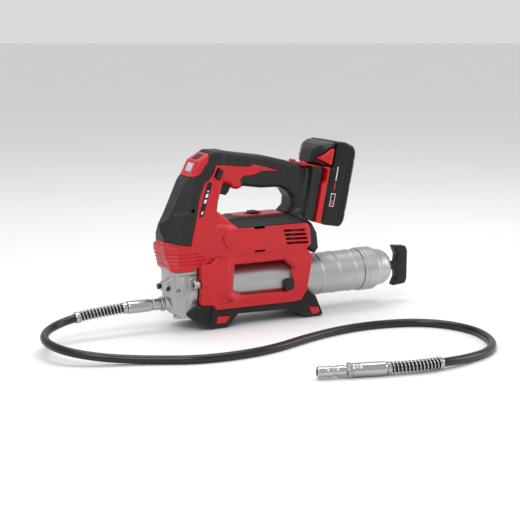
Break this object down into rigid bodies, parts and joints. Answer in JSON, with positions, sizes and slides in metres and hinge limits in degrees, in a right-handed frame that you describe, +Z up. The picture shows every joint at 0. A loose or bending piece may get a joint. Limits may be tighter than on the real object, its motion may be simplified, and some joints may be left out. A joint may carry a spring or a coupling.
{
  "type": "grease gun",
  "caption": "Battery grease gun: D-handle body over a cartridge barrel with a pull-back T handle, cast pump head, slide-on pack, and a long hose with spring guards and a grease coupler.",
  "frame": {"origin": "bottom centre of the tool's own box (without the hose), on the surface its skid stands on", "axes": "+X to the rear (T handle), +Y to the operator's right, +Z up; the pump head and hose outlet face -X"},
  "size_m": [0.5569, 0.3621, 0.2372],
  "materials": {
    "red_shell": "fine moulded texture, satin",
    "black_overmould": "soft overmould, matt with a fine grain",
    "black_plastic": "moulded nylon, satin",
    "pack_plastic": "moulded, satin",
    "cast_aluminium": "as cast, bead blasted",
    "barrel_finish": "drawn tube, satin clear coat",
    "bright_steel": "machined, zinc plated",
    "dark_steel": "black oxide",
    "brass": "plain",
    "black_rubber": "smooth hose cover",
    "board_green": "solder mask",
    "clear_lens": "frosted clear"
  },
  "bodies": {
    "tool": {"pump_head": "cast_aluminium", "head_bolts": "bright_steel", "outlet_collar": "bright_steel", "bottom_plug": "bright_steel", "outlet_check": "bright_steel", "front_cover": "black_overmould", "handle_grip": "black_overmould", "top_band": "black_overmould", "housing_left": "red_shell", "housing_right": "red_shell", "rear_bumper": "black_overmould", "base_skid": "black_plastic", "skid_pads": "red_shell", "barrel_saddle": "black_overmould", "housing_screws": "dark_steel", "ring_gear": "bright_steel", "gearcase": "cast_aluminium", "output_bearing": "bright_steel", "motor_can": "bright_steel", "motor_magnets": "dark_steel", "plunger_seal": "black_rubber", "switch_module": "black_plastic", "trigger_spring": "bright_steel", "light_lens": "clear_lens", "circuit_board": "board_green", "battery_foot": "black_plastic", "terminal_block": "brass", "hose": "black_rubber", "head_spring_guard": "bright_steel", "far_spring_guard": "bright_steel", "head_ferrule": "bright_steel", "far_ferrule": "bright_steel", "coupler_nut": "bright_steel", "coupler": "bright_steel"},
    "barrel": {"barrel_tube": "barrel_finish", "barrel_end_cap": "barrel_finish", "follower_spring": "bright_steel"},
    "follower": {"follower_cup": "black_rubber", "follower_rod": "bright_steel", "t_handle": "black_plastic"},
    "trigger": {"trigger": "black_plastic"},
    "lock_off": {"lock_off_button": "black_plastic"},
    "selector": {"selector_knob": "black_plastic"},
    "light_switch": {"light_switch": "black_plastic"},
    "bleed_valve": {"bleed_valve": "black_rubber"},
    "rotor": {"rotor": "bright_steel", "cooling_fan": "black_plastic"},
    "carrier": {"planet_carrier": "bright_steel", "crank": "bright_steel"},
    "planet_1": {"planet_gear_1": "bright_steel"},
    "planet_2": {"planet_gear_2": "bright_steel"},
    "planet_3": {"planet_gear_3": "bright_steel"},
    "plunger": {"yoke": "bright_steel", "plunger": "bright_steel"},
    "pack": {"pack_case": "pack_plastic", "pack_liner": "red_shell", "pack_cap": "pack_plastic", "battery_cells": "bright_steel"},
    "release_left": {"release_left": "red_shell"},
    "release_right": {"release_right": "red_shell"}
  },
  "joints": [
    {"name": "trigger_squeeze", "type": "slide", "parent": "tool", "child": "trigger", "axis": [0, 0, 1], "range_m": [0, 0.005], "stiffness_N_per_m": 700, "springref_m": -0.002, "deforming": ["trigger_spring"]},
    {"name": "lock_off_push", "type": "slide", "parent": "tool", "child": "lock_off", "axis": [0, 1, 0], "range_m": [0, 0.003]},
    {"name": "speed_select", "type": "slide", "parent": "tool", "child": "selector", "axis": [1, 0, 0], "range_m": [0, 0.0045]},
    {"name": "light_press", "type": "slide", "parent": "tool", "child": "light_switch", "axis": [0.515, 0, -0.8572], "range_m": [0, 0.0012], "stiffness_N_per_m": 500, "springref_m": -0.0005},
    {"name": "bleed_press", "type": "slide", "parent": "tool", "child": "bleed_valve", "axis": [1, 0, 0], "range_m": [0, 0.0015], "stiffness_N_per_m": 800, "springref_m": -0.001},
    {"name": "barrel_turn", "type": "hinge", "parent": "tool", "child": "barrel", "pos_m": [0, 0, 0.0528], "axis": [1, 0, 0], "continuous": true},
    {"name": "follower_pull", "type": "slide", "parent": "barrel", "child": "follower", "axis": [1, 0, 0], "range_m": [0, 0.185], "deforming": ["follower_spring"]},
    {"name": "rotor_spin", "type": "hinge", "parent": "tool", "child": "rotor", "pos_m": [-0.06, 0, 0.112], "axis": [1, 0, 0], "continuous": true},
    {"name": "carrier_spin", "type": "hinge", "parent": "tool", "child": "carrier", "pos_m": [-0.115, 0, 0.112], "axis": [1, 0, 0], "continuous": true},
    {"name": "planet_1_spin", "type": "hinge", "parent": "carrier", "child": "planet_1", "pos_m": [-0.108, 0.012, 0.112], "axis": [1, 0, 0], "continuous": true},
    {"name": "planet_2_spin", "type": "hinge", "parent": "carrier", "child": "planet_2", "pos_m": [-0.108, -0.006, 0.12239], "axis": [1, 0, 0], "continuous": true},
    {"name": "planet_3_spin", "type": "hinge", "parent": "carrier", "child": "planet_3", "pos_m": [-0.108, -0.006, 0.10161], "axis": [1, 0, 0], "continuous": true},
    {"name": "plunger_stroke", "type": "slide", "parent": "tool", "child": "plunger", "axis": [0, 0, 1], "range_m": [-0.008, 0.008]},
    {"name": "pack_slide", "type": "slide", "parent": "tool", "child": "pack", "axis": [0.1908, 0, 0.9816], "range_m": [0, 0.07]},
    {"name": "release_left_press", "type": "slide", "parent": "pack", "child": "release_left", "axis": [0, 1, 0], "range_m": [0, 0.003], "stiffness_N_per_m": 600, "springref_m": -0.001},
    {"name": "release_right_press", "type": "slide", "parent": "pack", "child": "release_right", "axis": [0, -1, 0], "range_m": [0, 0.003], "stiffness_N_per_m": 600, "springref_m": -0.001}
  ],
  "couplings": [
    {"joint": "carrier_spin", "follows": "rotor_spin", "ratio": 0.2},
    {"joint": "planet_1_spin", "follows": "rotor_spin", "ratio": -0.53333},
    {"joint": "planet_2_spin", "follows": "rotor_spin", "ratio": -0.53333},
    {"joint": "planet_3_spin", "follows": "rotor_spin", "ratio": -0.53333}
  ]
}
